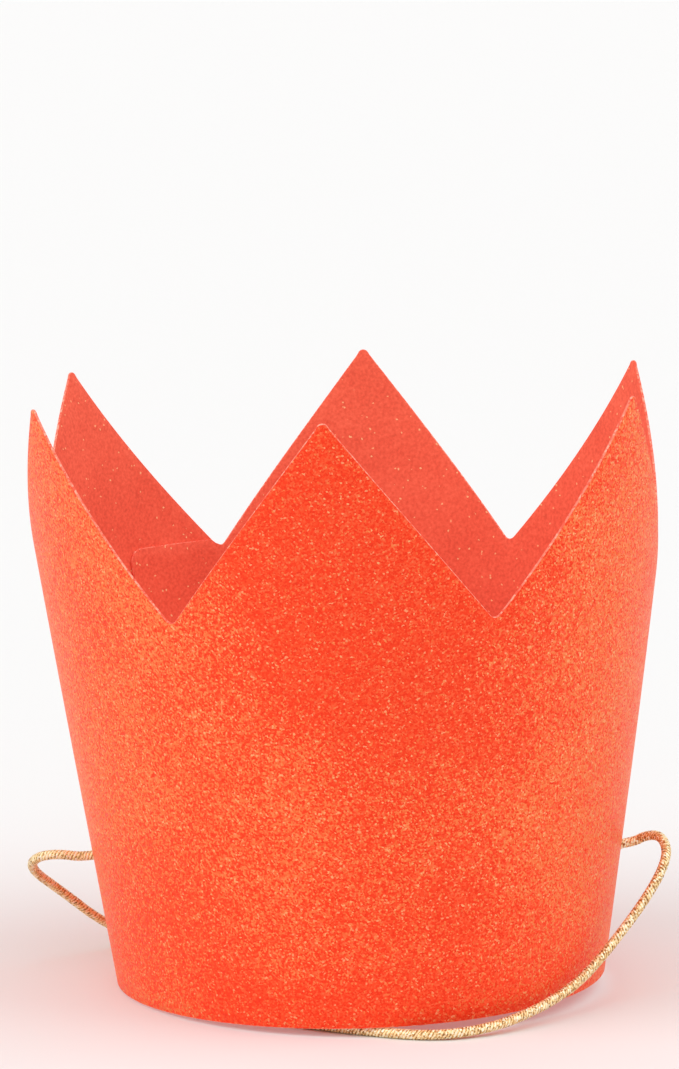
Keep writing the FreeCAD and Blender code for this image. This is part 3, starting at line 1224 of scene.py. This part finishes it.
@dataclass(frozen=True)
class Studio:
    """Plain pale floor, soft light and the camera at the photograph's view.

    Attributes:
        camera_place: Where the camera stands.
        camera_down: How far it looks down, in degrees.
        camera_right: How far it looks to the right of straight ahead, in degrees.
        lens: Focal length, in millimetres, on a sensor of 36 mm along the picture's long side.
        floor_reach: Half the floor's width.
        floor_colour: The floor's colour.
        ambient: Strength of the light from all round.
    """

    camera_place: tuple[float, float, float] = (-7.0 * MM, -780.3 * MM, 187.7 * MM)
    camera_down: float = 8.376
    camera_right: float = 0.2575
    lens: float = 165.87
    floor_reach: float = 12.0
    floor_colour: Colour = (0.85, 0.845, 0.84, 1.0)
    ambient: float = 0.7

    LAMPS: ClassVar[Sequence[SoftLamp]] = (
        SoftLamp("left_lamp", strength=0.95, spread=40.0, bearing=-70.0, height=30.0),
        SoftLamp("right_lamp", strength=0.75, spread=50.0, bearing=80.0, height=40.0),
        SoftLamp("front_lamp", strength=0.45, spread=60.0, bearing=0.0, height=60.0),
    )

    def add_camera(self) -> None:
        """Put up the camera."""
        data = bpy.data.cameras.new("camera")
        data.lens = self.lens
        data.sensor_width = 36.0
        data.sensor_fit = "AUTO"
        data.clip_start = 0.01
        data.clip_end = 60.0
        camera = bpy.data.objects.new("camera", data)
        camera.location = self.camera_place
        tilt, turn = math.radians(90 - self.camera_down), math.radians(-self.camera_right)
        camera.rotation_euler = (tilt, 0.0, turn)
        bpy.context.collection.objects.link(camera)
        bpy.context.scene.camera = camera

    def add_floor(self) -> None:
        """Lay the pale floor."""
        material, nodes = new_material("pale_floor")
        nodes.shader(Base_Color=self.floor_colour, Roughness=0.9)
        deselect_all()
        bpy.ops.mesh.primitive_plane_add(size=2 * self.floor_reach, location=(0.0, 0.0, 0.0))
        floor = bpy.context.object
        floor.name = "floor"
        floor.data.materials.append(material)

    def light_world(self) -> None:
        """Light the scene from all round, with a background that is white where it shows or is mirrored."""
        world = bpy.data.worlds.new("studio")
        bpy.context.scene.world = world
        world.use_nodes = True
        nodes = NodeBuilder(world.node_tree)
        rays = nodes.add("ShaderNodeLightPath").outputs
        mirrored = nodes.math("ADD", rays["Is Glossy Ray"], rays["Is Transmission Ray"])
        seen = nodes.math("ADD", rays["Is Camera Ray"], mirrored, clamp=True)
        strength = nodes.math("ADD", nodes.math("MULTIPLY", seen, 1 - self.ambient), self.ambient)
        background = nodes.add("ShaderNodeBackground")
        background.inputs["Color"].default_value = (1.0, 1.0, 1.0, 1.0)
        nodes.link(strength, background.inputs["Strength"])
        output = nodes.add("ShaderNodeOutputWorld")
        nodes.link(background.outputs[0], output.inputs["Surface"])

    def build(self) -> None:
        """Set up the whole studio."""
        self.add_camera()
        self.add_floor()
        for lamp in self.LAMPS:
            lamp.build()
        self.light_world()
        bpy.context.scene.view_settings.view_transform = "Standard"


def main() -> None:
    """Build the crown piece by piece, hide the CAD parts that they stand in for and attach each piece to the
    root body.
    """
    logging.basicConfig(level=logging.INFO, format="%(message)s")
    Studio().build()
    LOG.info("studio with %d lamps", len(Studio.LAMPS))

    wall = CrownWall()
    cord = ElasticCord()
    knot = Knot()
    standing = Stance(wall.base_radius, cord.diameter)
    stance = standing.matrix()
    gold = ElasticFinish().material()

    route = cord.route()
    left = knot.centre(wall, Hole.LEFT, stance)
    right = knot.centre(wall, Hole.RIGHT, stance)
    start = knot.cord_end(left, route[0])
    end = knot.cord_end(right, route[-1])
    elastic, line, length = cord.build(start, end, gold)
    LOG.info("cord %.1f mm long", length / MM)
    left_knot = knot.build("left_overhand_knot", left, route[0], gold)
    right_knot = knot.build("right_overhand_knot", right, route[-1], gold)
    for tied in (left_knot, right_knot):
        LOG.info("%s %d faces", tied.name, len(tied.data.polygons))

    card = [GlitterFinish().material(), PrintedInsideFinish().material(), CutEdgeFinish().material()]
    ring = wall.build(stance, standing.seam_bearing(), card)
    LOG.info("wall %d faces", len(ring.data.polygons))

    for piece, node, slot in (
        (ring, "crown_wall", "glitter_card"),
        (elastic, "elastic_cord", "gold_elastic"),
        (left_knot, "knot_left", "gold_elastic"),
        (right_knot, "knot_right", "gold_elastic"),
    ):
        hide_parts(node)
        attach(piece, "root")


if __name__ == "__main__":
    main()
